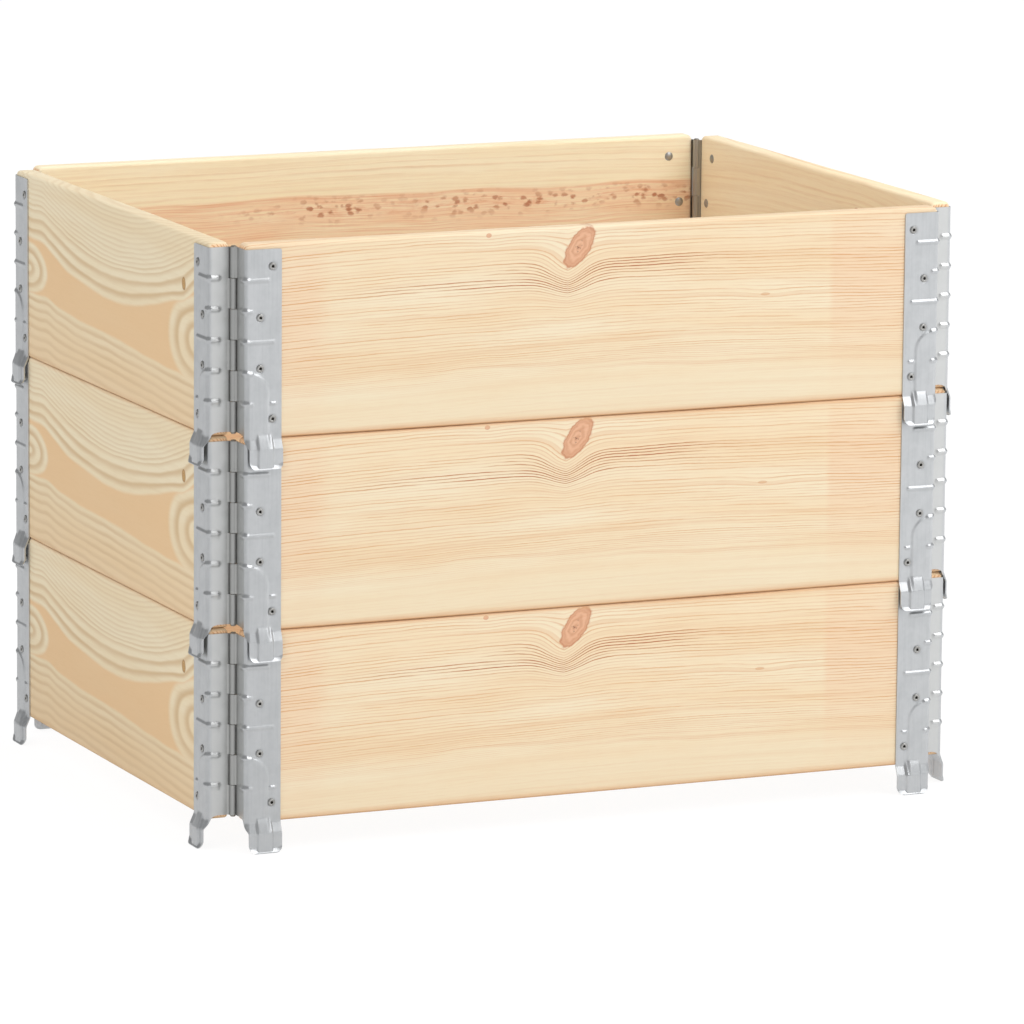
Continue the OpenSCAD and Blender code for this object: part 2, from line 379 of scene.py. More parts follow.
def straight_rings(graph, along, up, depth, look):
    """Grain height, ring lines and no heart band, for a board whose rings run along it."""
    seed = look["seed"]
    drift = graph.field(along * 0.0030, up * 0.010, depth * 0.012 + seed, 2.0)
    ripple = graph.field(along * 0.016, up * 0.06, depth * 0.05 + seed, 4.0, 0.6)
    grain = up + depth * 0.55 + drift * 11.0 + ripple * 3.4 + along * along * look["sag"]
    grain = flow_round_knots(graph, grain, along, up, look["knots"])
    # Wide rings at the top, narrow ones below the middle
    phase = grain / look["ring"] + graph.smooth(40.0, 82.0, grain) * look["crowd"]
    phase = phase + graph.field(grain * 0.05, along * 0.0006, seed, 2.0) * 1.6
    lines = ring_lines(graph, phase, along, seed)
    quiet = graph.smooth(look["quiet"][0], look["quiet"][1], grain)
    return grain, lines * (quiet * 0.85 + 0.15), None


def arch_rings(graph, along, up, depth, look):
    """Grain height, ring lines and heart band of a flat-sawn board, with arches around the band."""
    seed = look["seed"]
    drift = graph.field(along * 0.006, up * 0.02, depth * 0.02 + seed, 2.0) - 0.5
    ripple = graph.field(along * 0.022, up * 0.035, depth * 0.03 + seed, 2.0) - 0.5
    wander = drift * 10.0 + ripple * 2.5 + depth * 0.3
    level = flow_round_knots(graph, up + wander, along, up, look["knots"])
    upper = along * along * 0.00080 + 96.0 - graph.smooth(185.0, 245.0, along * -1.0) * 16.0
    lower = 58.0 - along * 0.045 + graph.hill(along, -183.0, 20.0) * 3.5
    above = level - upper
    below = lower - level
    rings_above = above * 0.085 + graph.math("MAXIMUM", above - 30.0, 0.0) * 0.11
    rings_below = below * 0.105
    beyond = graph.math("MAXIMUM", rings_above, rings_below)
    for centre, size, count in look["ends"]:
        du = (along - centre[0]) / size[0]
        dv = (level - centre[1]) / size[1]
        inside = 1.0 - graph.math("SQRT", du * du + dv * dv)
        beyond = graph.math("MAXIMUM", beyond, inside * count)
    phase = graph.math("MAXIMUM", beyond, 0.0)
    ring = graph.math("FLOOR", phase)
    part = phase - ring
    line = graph.smooth(0.22, 0.72, part) * (1.0 - graph.smooth(0.74, 1.0, part))
    shade = graph.field(along * 0.006, level * 0.02, seed + 2.0, 2.0)
    band = 1.0 - graph.smooth(-0.22, 0.16, beyond)
    fade = 1.0 - graph.smooth(14.0, 62.0, above) * 0.62
    own = graph.chance(ring + seed * 7.0)
    strength = line * fade * (own * 0.35 + 0.65) * (graph.smooth(0.25, 0.65, shade) * 0.4 + 0.6)
    return level, strength, band * (shade * 0.3 + 0.75)


def plain_wood(graph, along, grain, look):
    """Colour between the lines: broad drift, narrow tints along the grain, and a paler lower band."""
    seed = look["seed"]
    tone = graph.field(along * 0.0035, grain * 0.03, seed + 5.0, 2.0)
    colour = graph.mix(graph.smooth(0.30, 0.70, tone), look["light"], look["warm"])
    tint = graph.field(along * 0.003, grain * 0.22, seed + 9.0, 2.0)
    colour = graph.mix(graph.smooth(0.45, 0.72, tint) * look["tint"], colour, look["line"])
    low_band = 1.0 - graph.smooth(look["pale"][0], look["pale"][1], grain)
    return graph.mix(low_band * look["pale_strength"], colour, PALE)


def patch_mask(graph, along, up, patch):
    """A soft-edged area, from one end of the board or along all of it."""
    inside = graph.smooth(patch["along"][0], patch["along"][1], along * patch["sign"])
    return inside * graph.hill(up, patch["up"][0], patch["up"][1])


def flame_mask(graph, along, grain, flames):
    """Where the ring lines darken, below and beside a knot."""
    masks = []
    for spot in flames:
        beside = graph.hill(along, spot["at"][0], spot["size"][0])
        level = graph.hill(grain, spot["at"][1], spot["size"][1])
        masks.append(beside * level * spot["strength"])
    return sum(masks[1:], masks[0])


def add_streak(graph, colour, along, up, depth, top, seed):
    """A reddish heartwood streak with dark specks, on the inner face below a height."""
    wander = graph.field(along * 0.006, seed, 2.0, 2.0) * 14.0 - 7.0
    level = up + wander
    inner = graph.smooth(9.0, 13.0, depth)
    zone = graph.smooth(top + 2.5, top, level) * inner
    broken = graph.field(along * 0.010, level * 0.30, seed, 3.0)
    colour = graph.mix(zone * (graph.smooth(0.30, 0.65, broken) * 0.55 + 0.25), colour, STREAK)
    fine = graph.field(along * 0.012, level * 0.75, seed + 4.0, 2.0)
    colour = graph.mix(zone * graph.smooth(0.50, 0.70, fine) * 0.45, colour, STREAK_LINE)
    edge = graph.hill(level, top - 1.5, 2.2) * graph.smooth(0.30, 0.62, broken) * inner
    colour = graph.mix(edge * 0.35, colour, STREAK_LINE)
    band = graph.hill(level, top - 14.0, 11.0) * zone * (1.0 - graph.smooth(70.0, 190.0, along))
    clumps = graph.field(along * 0.012, level * 0.03, seed + 8.0, 2.0)
    smear = graph.field(along * 0.035, level * 0.16, seed + 6.0, 4.0, 0.65)
    colour = graph.mix(graph.smooth(0.46, 0.70, smear) * band * 0.55, colour, STREAK_LINE)
    ragged = graph.field(along * 0.11, level * 0.22, seed + 1.0, 3.0, 0.6)
    spots = graph.cells(graph.vector(along * 0.10, level * 0.15, seed)) + ragged * 0.9 - 0.45
    specks = 1.0 - graph.smooth(0.18, 0.48, spots)
    return graph.mix(specks * band * graph.smooth(0.30, 0.55, clumps) * 0.9, colour, SPECKLE)


def add_knot(graph, colour, along, up, spot):
    """A knot with a darker rim, faint rings of its own and a speckled heart."""
    angle = math.radians(spot["tilt"])
    du = along - spot["at"][0]
    dv = up - spot["at"][1]
    p = (du * math.cos(angle) + dv * math.sin(angle)) / spot["size"][0]
    q = (dv * math.cos(angle) - du * math.sin(angle)) / spot["size"][1]
    ragged = graph.noise(graph.vector(along, up, 0.0), 0.14, 3.0) * 0.45
    radius = graph.math("SQRT", p * p + q * q) + ragged - 0.22
    rings = graph.math("SINE", radius * 19.0) * 0.5 + 0.5
    cracks = graph.smooth(0.56, 0.70, graph.noise(graph.vector(along * 1.3, up, 4.0), 0.28, 3.0))
    inner = graph.mix(rings * 0.45, spot["flesh"], spot["edge"])
    inner = graph.mix(cracks * (1.0 - graph.smooth(0.12, 0.50, radius)), inner, KNOT_HEART)
    body = 1.0 - graph.smooth(0.80, 1.02, radius)
    colour = graph.mix(body * spot["strength"], colour, inner)
    return graph.mix(graph.hill(radius, 0.93, 0.08) * spot["rim"], colour, spot["edge"])


def add_end_grain(graph, colour, side, up, depth, seed):
    """Sawn ends show slanting arcs and saw marks."""
    normal = graph.parts("Normal")
    facing = graph.math("ABSOLUTE", normal[0 if side in ("front", "back") else 1])
    arcs = graph.math("SINE", (up * 0.5 + depth * depth * 0.025 + depth * 0.3) * 2.2) * 0.5 + 0.5
    saw = graph.field(depth * 0.7, up * 0.5, seed, 3.0)
    marks = graph.smooth(0.55, 0.95, arcs * 0.6 + saw * 0.7)
    sawn = graph.mix(marks * 0.75, END_GRAIN, END_LINE)
    return graph.mix(graph.smooth(0.72, 0.95, facing), colour, sawn)


def add_edge_shade(graph, colour, up, fibre, amount, covered):
    """Painted shade in the seams: the lower edge is painted brown, and so is an upper edge that another board
    stands on.
    """
    edge_shade = (1.0 - graph.smooth(0.0, 8.0, up)) * (fibre * 0.5 + 0.5)
    colour = graph.mix(edge_shade * amount, colour, EDGE_SHADE_TAN)
    if covered:
        colour = graph.mix(graph.smooth(185.0, 189.0, up) * 0.6 * amount, colour, EDGE_SHADE_TAN)
    return graph.mix((1.0 - graph.smooth(0.2, 2.0, up)) * 0.6, colour, EDGE_SHADE_BROWN)


def ringed_wood(graph, along, up, depth, look):
    """Colour of the wood with its growth rings, and the ring lines by themselves."""
    grain, lines, heart = look["rings"](graph, along, up, depth, look)
    colour = plain_wood(graph, along, grain, look)
    outer = 1.0 - graph.smooth(6.0, 14.0, depth)
    shown = lines * (outer * look["outer_lines"] + look["line_strength"])
    for patch in look["patches"]:
        inside = patch_mask(graph, along, up, patch)
        colour = graph.mix(inside * patch["strength"], colour, patch["colour"])
        shown = shown * (inside * patch["lines"] + 1.0)
    colour = graph.mix(graph.math("MINIMUM", shown, 1.0), colour, look["line"])
    if heart:
        colour = graph.mix(graph.math("MINIMUM", heart, 1.0), colour, TAN)
    if look["flames"]:
        burn = flame_mask(graph, along, grain, look["flames"])
        colour = graph.mix(graph.math("MULTIPLY", lines * burn, 1.5, clamp=True), colour, FLAME)
    return colour, lines


def pine(name, side, base, look, half_length, half_width, covered):
    """Planed pine with growth rings, colour drift, knots, fibres and end grain."""
    graph = MaterialGraph(name)
    seed = look["seed"]
    along, up, depth = board_axes(graph, side, base, half_length, half_width)
    colour, lines = ringed_wood(graph, along, up, depth, look)
    for top in look["streaks"]:
        colour = add_streak(graph, colour, along, up, depth, top, seed)
    fibre = graph.field(along * 0.04, up * 1.7, depth * 1.7, 3.0, 0.6)
    colour = graph.mix(graph.smooth(0.48, 0.78, fibre) * 0.18, colour, look["line"])
    for spot in look["knots"]:
        colour = add_knot(graph, colour, along, up, spot)
    colour = add_end_grain(graph, colour, side, up, depth, seed)
    colour = add_edge_shade(graph, colour, up, fibre, look["edge_shade"], covered)
    graph.set("Base Color", colour)
    graph.set("Roughness", fibre * 0.14 + lines * -0.08 + 0.58)
    graph.set("Specular IOR Level", 0.25)
    graph.bump(lines * 0.6 + fibre * 0.5, 0.0002, 0.8)
    return graph.material


PLAIN_KNOT = {"tilt": 0.0, "lean": 0.0, "below": 0.0, "strength": 0.9, "rim": 0.5, "flesh": KNOT,
              "edge": KNOT_RIM}


def knot(at, size, dip, reach, **more):
    """A knot's place and half sizes, how far the grain dips around it, and what else isn't plain."""
    return {**PLAIN_KNOT, "at": at, "size": size, "dip": dip, "reach": reach, **more}


def flame(at, size, strength):
    return {"at": at, "size": size, "strength": strength}


# What most boards have: no pale lower band, lines that are stronger outside than inside, and some painted
# shade along the edges
PLAIN_LOOK = {
    "rings": straight_rings, "pale": (-200.0, -190.0), "pale_strength": 0.0, "tint": 0.15, "line": LATEWOOD,
    "line_strength": 0.25, "outer_lines": 0.4, "patches": [], "flames": [], "streaks": [], "edge_shade": 0.6,
}
FRONT_LOOK = {
    **PLAIN_LOOK, "seed": 1.7, "ring": 3.2, "crowd": 6.0, "sag": 0.00006, "quiet": (40.0, 66.0),
    "pale": (34.0, 64.0), "pale_strength": 0.6, "tint": 0.25, "light": CREAM, "warm": PEACH,
    "line_strength": 0.85, "outer_lines": 0.0, "edge_shade": 1.0,
    "knots": [
        knot((-21.0, 170.0), (11.5, 24.0), tilt=-36.0, dip=20.0, lean=-12.0, below=24.0,
             reach=(16.0, 30.0), rim=0.8),
        knot((-118.0, 186.0), (3.0, 2.4), strength=0.8, rim=0.4, reach=(12.0, 9.0), dip=2.0),
        knot((182.0, 112.0), (5.5, 1.5), strength=0.5, rim=0.2, reach=(20.0, 8.0), dip=3.0,
             flesh=LATEWOOD),
    ],
    "patches": [
        {"along": (278.0, 306.0), "sign": -1.0, "up": (120.0, 78.0), "strength": 0.55, "colour": PINK,
         "lines": 0.5},
        {"along": (250.0, 260.0), "sign": 1.0, "up": (120.0, 72.0), "strength": 0.55, "colour": PINK,
         "lines": 0.5},
    ],
    "flames": [
        flame((-45.0, 152.0), (75.0, 13.0), 1.3),
        flame((70.0, 158.0), (60.0, 10.0), 1.1),
        flame((-165.0, 147.0), (80.0, 4.0), 1.0),
    ],
}
LEFT_LOOK = {
    **PLAIN_LOOK, "rings": arch_rings, "seed": 4.3, "tint": 0.10, "light": srgb(240, 226, 196),
    "warm": srgb(238, 220, 186), "line": RING_TAN, "line_strength": 0.85, "outer_lines": 0.0, "edge_shade": 0.35,
    "ends": [((-236.0, 94.0), (54.0, 25.0), 2.2), ((240.0, 88.0), (74.0, 46.0), 2.6)],
    "knots": [knot((205.0, 140.0), (5.0, 6.5), dip=6.0, below=8.0, reach=(18.0, 20.0), strength=1.0,
                   rim=0.8, flesh=OLD_KNOT, edge=OLD_KNOT_RIM)],
    "patches": [
        {"along": (-400.0, -390.0), "sign": 1.0, "up": (10.0, 44.0), "strength": 0.5, "colour": TAN,
         "lines": -0.35},
    ],
}
# Painted light: the back board gets paler colours than the outer boards, to make up for the shade inside the
# collar
BACK_LOOK = {
    **PLAIN_LOOK, "seed": 8.1, "ring": 6.5, "crowd": 2.0, "sag": 0.00003, "quiet": (30.0, 60.0),
    "light": srgb(253, 241, 210), "warm": srgb(252, 236, 200), "streaks": [142.0],
    "knots": [knot((-150.0, 62.0), (8.0, 11.0), tilt=12.0, dip=14.0, below=14.0, reach=(34.0, 34.0))],
}
# Painted light: the right board gets paler colours than the outer boards, to make up for the shade inside the
# collar
RIGHT_LOOK = {
    **PLAIN_LOOK, "seed": 12.6, "ring": 7.5, "crowd": 1.0, "sag": 0.0002, "quiet": (10.0, 40.0),
    "light": srgb(253, 236, 202), "warm": srgb(253, 232, 194),
    "knots": [knot((-105.0, 158.0), (9.0, 4.0), dip=-5.0, reach=(34.0, 20.0), strength=0.95, rim=0.6)],
}
LOOKS = {"front": FRONT_LOOK, "left": LEFT_LOOK, "back": BACK_LOOK, "right": RIGHT_LOOK}


# Metals

# Painted shade on the end cap next to the knuckles
KNUCKLE_SHADE_GREY = srgb(146, 146, 143)


def galvanised(name, base, dark, rough, cap=None):
    """Zinc-coated pressed steel with a faint cloudy spangle and drawing streaks. A leaf's end cap gets a
    lighter colour as painted light, and painted shade that darkens it towards the knuckles."""
    graph = MaterialGraph(name)
    x, y, z = graph.coordinates()
    place = graph.vector(x, y, z)
    cloud = graph.noise(place, 0.05, 4.0, 0.6)
    spangle = graph.cells(place, 0.25)
    fine = graph.noise(place, 0.9, 2.0)
    drawn = graph.field(x * 0.5, y * 0.5, z * 0.02, 3.0, 0.6)
    shade = graph.smooth(0.30, 0.75, cloud) * 0.45 + spangle * 0.18
    shade = shade + graph.smooth(0.45, 0.75, drawn) * 0.30
    colour = graph.mix(graph.math("MINIMUM", shade, 1.0), base, dark)
    if cap:
        # Painted light: the end cap is given a lighter colour than the plate, to brighten it
        colour = graph.mix(graph.smooth(0.0, 4.0, y) * 0.8, colour, cap)
        # Painted shade: the cap turns grey towards the knuckles, where the barrel shades it
        knuckle_shade = graph.smooth(12.0, 21.0, y + cloud * 6.0 - 3.0)
        colour = graph.mix(knuckle_shade * 0.55, colour, KNUCKLE_SHADE_GREY)
    graph.set("Base Color", colour)
    graph.set("Metallic", 0.85)
    graph.set("Roughness", cloud * 0.12 + fine * 0.05 + rough)
    graph.bump(cloud * 0.5 + fine * 0.2, 0.0003, 0.3)
    return graph.material


# Meshes


def mesh_from(name, points, faces, sharp_degrees=48.0):
    """A smooth-shaded mesh from points in millimetres."""
    mesh = bpy.data.meshes.new(name)
    mesh.from_pydata([tuple(float(c) * MM for c in p) for p in points], [], faces)
    mesh.validate()
    mesh.polygons.foreach_set("use_smooth", [True] * len(mesh.polygons))
    mesh.set_sharp_from_angle(angle=math.radians(sharp_degrees))
    mesh.update()
    return mesh


def smoothstep(low, high, value):
    part = min(max((value - low) / (high - low), 0.0), 1.0)
    return part * part * (3.0 - 2.0 * part)


def round_inset(radius, to_end):
    """How far a rounded end has drawn in, at a distance from the end."""
    fall = max(radius - to_end, 0.0)
    return radius - math.sqrt(max(radius ** 2 - fall ** 2, 0.0))


def capsule(x, z, start, end, level, half_width):
    """Height of a round-ended bead from start to end at one level, 0 to 1."""
    nearest = min(max(x, start), end)
    distance = math.hypot(x - nearest, z - level)
    part = min(max((distance / half_width - BEAD_CREST) / (1.0 - BEAD_CREST), 0.0), 1.0)
    return 1.0 - BEAD_ROUNDING * smoothstep(0.0, 1.0, part) - (1.0 - BEAD_ROUNDING) * part


def bead_level(number):
    return LEAF_TOP - number * KNUCKLE_PITCH


def bead_rise(number, x, z, plate_height):
    """Rise of one bead at a distance x from the board's end along the plate, or -x along the cap."""
    plate_end = BEAD_LENGTHS[number - 1] - BEAD_HALF_WIDTH
    cap_end = -(BEAD_ON_CAP - CAP_BEAD_HALF_WIDTH)
    on_cap = smoothstep(BEAD_CHANGE[0], BEAD_CHANGE[1], x)
    height = plate_height + (BEAD_HEIGHT - plate_height) * on_cap
    half_width = BEAD_HALF_WIDTH + (CAP_BEAD_HALF_WIDTH - BEAD_HALF_WIDTH) * on_cap
    return height * capsule(x, z, cap_end, plate_end, bead_level(number), half_width)


def panel_rise(x, z):
    """The raised panel with its one large round corner, which starts at the bend level with a bead."""
    qx = x - (PANEL_WIDTH - PANEL_RADIUS)
    qz = z - (PANEL_TOP - PANEL_RADIUS)
    if qx > 0 and qz > 0:
        inside = PANEL_RADIUS - math.hypot(qx, qz)
    else:
        inside = min(PANEL_WIDTH - x, PANEL_TOP - z)
    edge = smoothstep(-PANEL_SOFTNESS, PANEL_SOFTNESS, inside)
    return PANEL_RAISE * edge * smoothstep(0.0, PANEL_START, x)


def rounded_start(value):
    """0 below zero and the value itself above, with a rounded corner between."""
    if abs(value) > SLOPE_SOFTNESS:
        return max(value, 0.0)
    return (value + SLOPE_SOFTNESS) ** 2 / (4 * SLOPE_SOFTNESS)


def lip_rise(x, z):
    """Flare of the foot's lip, which follows the lower edge around both corners."""
    down = -z - FOOT_STRAIGHT
    if down <= 0.0:
        return 0.0
    aside = LIP_TURN * max(FOOT_TAPER + FOOT_CORNER - x, x - PLATE_WIDTH + FOOT_CORNER, 0.0)
    reach = math.hypot(aside, down)
    part = max(1.0 - (FOOT_CORNER - reach) / LIP_HEIGHT, 0.0)
    return LIP_FLARE * min(part / LIP_RIM, 1.0) ** 1.2 * smoothstep(0.0, 0.5, down / reach)


def ridge_rise(x, z):
    """Height of the ridge that runs down the middle of the foot into its lip."""
    near_side = smoothstep(RIDGE[0] - RIDGE_SOFTNESS, RIDGE[0] + RIDGE_SOFTNESS, x)
    far_side = smoothstep(RIDGE[1] + RIDGE_SOFTNESS, RIDGE[1] - RIDGE_SOFTNESS, x)
    return RIDGE_HEIGHT * near_side * far_side * smoothstep(RIDGE_TOP, -RIDGE_SOFTNESS, z)


def foot_rise(x, z):
    """Outward offset of the foot with its lip and its ridge."""
    step = FOOT_OFFSET * (rounded_start(-z) - rounded_start(-z - FOOT_SLOPE)) / FOOT_SLOPE
    return step + max(lip_rise(x, z), ridge_rise(x, z))


def dimple(x, z):
    """The sheet is drawn in a little around each rivet."""
    depth = 0.0
    for rx, rz in RIVETS:
        depth -= DIMPLE_DEPTH * smoothstep(DIMPLE_RADII[0], DIMPLE_RADII[1], math.hypot(x - rx, z - rz))
    return depth


def leaf_rise(x, z, plate_height):
    """Rise of the pressed sheet over a flat one. x is negative on the end cap."""
    rise = max(bead_rise(number, x, z, plate_height) for number in range(1, KNUCKLES))
    if x < 0:
        return rise
    lowest = bead_level(KNUCKLES - 1)
    dash = DASH_HEIGHT * capsule(x, z, DASH_ENDS[0], DASH_ENDS[1], lowest, DASH_HALF_WIDTH)
    # The panel fades out over the foot's slope
    panel = panel_rise(x, z) * smoothstep(-FOOT_SLOPE - 4.0, 2.0, z)
    return max(rise, dash) + panel + foot_rise(x, z) + dimple(x, z)


def leaf_rows():
    """Heights of the leaf's grid, closer together over beads, rivets, the panel's arc and the foot."""
    levels = [bead_level(number) for number in range(1, KNUCKLES)]
    close = [(level - BEAD_ZONE, level + BEAD_ZONE) for level in levels]
    close += [(row - RIVET_ZONE, row + RIVET_ZONE) for column, row in RIVETS]
    close += [(PANEL_TOP - PANEL_RADIUS - ARC_ZONE, PANEL_TOP + ARC_ZONE), (0.0, RIDGE_TOP + ARC_ZONE)]
    rows = [LEAF_TOP]
    while rows[-1] > 0.0:
        z = rows[-1]
        if any(low < z <= high for low, high in close):
            rows.append(max(z - CLOSE_ROW, 0.0))
        else:
            next_zone = max(high for low, high in close if high < z)
            rows.append(max(z - OPEN_ROW, next_zone))
    foot = list(np.linspace(-CLOSE_ROW, -FOOT_STRAIGHT, FOOT_ROWS))
    arc = [-FOOT_STRAIGHT - FOOT_CORNER * math.sin(math.radians(a)) for a in range(8, 91, 8)]
    return rows, foot + arc + [-FOOT_DROP]


def foot_edges(z):
    """Left and right edge of the foot at a height below the board, along the sheet from the bend."""
    neck = min(-z / FOOT_NECK, 1.0)
    left = -BEND_LENGTH * (1.0 - neck) ** 1.4
    left += (FOOT_TAPER - BEND_RADIUS) * min(-z / FOOT_STRAIGHT, 1.0)
    inset = round_inset(FOOT_CORNER, FOOT_DROP + z)
    return left + inset, PLATE_WIDTH - BEND_RADIUS - inset


def cap_bottom(y):
    """Lower edge of the end cap, which runs down to the bend in a long fillet."""
    part = min((y - BEND_RADIUS) / CAP_FILLET, 1.0)
    return CAP_RISE * math.sqrt(max(1.0 - (1.0 - part) ** 2, 0.0))


def leaf_columns():
    """Places across the sheet, measured along it from the bend: end cap, bend and plate."""
    cap_length = CAP_EDGE - BEND_RADIUS
    cap = [-BEND_LENGTH - y for y in np.linspace(cap_length, FILLET_REACH, CAP_COLUMNS)[:-1]]
    # The fillet's columns lie closer together towards the bend
    parts = np.linspace(1.0, 0.0, FILLET_COLUMNS)[:-1]
    fillet = [-BEND_LENGTH - FILLET_REACH * part ** 1.7 for part in parts]
    bend = list(np.linspace(-BEND_LENGTH, 0.0, BEND_COLUMNS)[:-1])
    plate = list(np.linspace(0.0, PLATE_WIDTH - BEND_RADIUS, PLATE_COLUMNS))
    return cap + fillet, bend + plate


def sheet_point(place, z, plate_height):
    """Outer and inner point of the pressed sheet at a place along it."""
    if place <= -BEND_LENGTH:
        y = BEND_RADIUS - BEND_LENGTH - place
        rise = leaf_rise(-y, z, plate_height)
        # The cap's edge is cut to the round of the knuckles
        inner_y = CAP_INNER_EDGE if y > CAP_EDGE - TINY else y
        return (-SHEET - rise, y, z), (-rise, inner_y, z)
    if place < 0.0:
        angle = -place / BEND_LENGTH * math.pi / 2
        sin, cos = math.sin(angle), math.cos(angle)
        flat = leaf_rise(0.0, z, plate_height)
        round_end = leaf_rise(-TINY, z, plate_height)
        rise = flat + (round_end - flat) * smoothstep(0.0, -BEND_LENGTH, place)
        outer, inner = BEND_RADIUS + SHEET + rise, BEND_RADIUS + rise
        return ((BEND_RADIUS - outer * sin, BEND_RADIUS - outer * cos, z),
                (BEND_RADIUS - inner * sin, BEND_RADIUS - inner * cos, z))
    x = BEND_RADIUS + place
    if z > LEAF_TOP - TINY:
        z -= round_inset(PLATE_CORNER, PLATE_WIDTH - x)
    rise = leaf_rise(x, z, plate_height)
    return (x, -SHEET - rise, z), (x, -rise, z)


def in_rivet_hole(points):
    x = sum(p[0] for p in points) / len(points)
    z = sum(p[2] for p in points) / len(points)
    return any(math.hypot(x - rx, z - rz) < HOLE_RADIUS for rx, rz in RIVETS)


def pressed_sheet(plate_height):
    """Plate, bend, end cap and foot of a left-hand leaf as one closed sheet."""
    upper, foot = leaf_rows()
    cap, plate = leaf_columns()
    columns = cap + plate
    points, index = [], {}
    for r, height in enumerate(upper + foot):
        below = r >= len(upper)
        left, right = foot_edges(height) if below else (plate[0], plate[-1])
        for c, place in enumerate(columns):
            z = height
            if c < len(cap):
                if below:
                    continue
                bottom = cap_bottom(BEND_RADIUS - BEND_LENGTH - place)
                z = LEAF_TOP - (LEAF_TOP - height) * (LEAF_TOP - bottom) / LEAF_TOP
            elif below:
                place = left + (right - left) * (place - plate[0]) / (plate[-1] - plate[0])
            index[r, c] = len(points) // 2
            points.extend(sheet_point(place, z, plate_height))
    faces, edges = [], {}
    for r in range(len(upper + foot) - 1):
        for c in range(len(columns) - 1):
            corners = [(r, c), (r, c + 1), (r + 1, c + 1), (r + 1, c)]
            if any(k not in index for k in corners):
                continue
            ids = [index[k] for k in corners]
            if c >= len(cap) and in_rivet_hole([points[2 * i] for i in ids]):
                continue
            faces.append([2 * i for i in reversed(ids)])
            faces.append([2 * i + 1 for i in ids])
            for a, b in zip(ids, ids[1:] + ids[:1]):
                edges[a, b] = True
    for a, b in edges:
        if (b, a) not in edges:
            faces.append([2 * a, 2 * b, 2 * b + 1, 2 * a + 1])
    return points, faces


def rolled_knuckle(low, high):
    """One rolled knuckle: the sheet leaves the end cap and curls around the pin."""
    centre = (-KNUCKLE_RADIUS, PIN_FROM_FACE)
    middle = BORE_RADIUS + SHEET / 2
    path = [(-SHEET / 2, CAP_EDGE - KNUCKLE_OVERLAP, 1.0, 0.0)]
    path.append((-SHEET / 2, PIN_FROM_FACE - KNUCKLE_START, 1.0, 0.0))
    # The roll ends where its outside touches the fillet
    reach = KNUCKLE_RADIUS + KNUCKLE_FILLET
    last_angle = 2 * math.pi - math.acos((KNUCKLE_RADIUS - SHEET - KNUCKLE_FILLET) / reach)
    for angle in np.linspace(0.0, last_angle, ROLL_STEPS):
        cos, sin = math.cos(angle), math.sin(angle)
        path.append((centre[0] + middle * cos, centre[1] + middle * sin, cos, sin))
    # The end of the roll lies against the cap in a small fillet
    bend = (centre[0] + reach * math.cos(last_angle), centre[1] + reach * math.sin(last_angle))
    for angle in np.linspace(last_angle, math.pi, ROLL_END_STEPS)[1:]:
        cos, sin = math.cos(angle), math.sin(angle)
        away = KNUCKLE_FILLET + SHEET / 2
        path.append((bend[0] - away * cos, bend[1] - away * sin, cos, sin))
    points, faces = [], []
    for x, y, nx, ny in path:
        for offset in (SHEET / 2, -SHEET / 2):
            for z in (low, high):
                points.append((x + nx * offset, y + ny * offset, z))
    for i in range(len(path) - 1):
        a, b = 4 * i, 4 * (i + 1)
        faces += [[a, b, b + 1, a + 1], [a + 3, b + 3, b + 2, a + 2]]
        faces += [[a + 1, b + 1, b + 3, a + 3], [a + 2, b + 2, b, a]]
    last = 4 * (len(path) - 1)
    faces += [[0, 1, 3, 2], [last + 2, last + 3, last + 1, last]]
    return points, faces


def leaf_mesh(end):
    """The whole leaf. The left-hand one has the odd knuckles from the top, the other the even ones."""
    points, faces = pressed_sheet(PLATE_BEADS[end])
    for number in range(end, KNUCKLES, 2):
        high = bead_level(number) - (KNUCKLE_GAP / 2 if number else 0.0)
        low = bead_level(number + 1) + (KNUCKLE_GAP / 2 if number < KNUCKLES - 1 else 0.0)
        more, more_faces = rolled_knuckle(low, high)
        faces += [[i + len(points) for i in face] for face in more_faces]
        points += more
    if end:
        points = [(-x, y, z) for x, y, z in points]
        faces = [list(reversed(face)) for face in faces]
    return mesh_from(f"leaf_{end}", points, faces)


def lathe(profile, segments):
    """Points and faces of a profile of (radius, height) turned about Z. Both ends lie on the axis."""
    points, faces, rings = [], [], []
    for radius, height in profile:
        if radius < 1e-6:
            rings.append([len(points)] * segments)
            points.append((0.0, 0.0, height))
            continue
        rings.append(list(range(len(points), len(points) + segments)))
        for i in range(segments):
            angle = 2 * math.pi * i / segments
            points.append((radius * math.cos(angle), radius * math.sin(angle), height))
    for low, high in zip(rings, rings[1:]):
        for i in range(segments):
            j = (i + 1) % segments
            face = list(dict.fromkeys((low[i], low[j], high[j], high[i])))
            if len(face) > 2:
                faces.append(face)
    return points, faces


def arc_profile(centre, radius, start, end, steps=6):
    angles = [math.radians(start + (end - start) * i / steps) for i in range(steps + 1)]
    return [(centre[0] + radius * math.cos(a), centre[1] + radius * math.sin(a)) for a in angles]


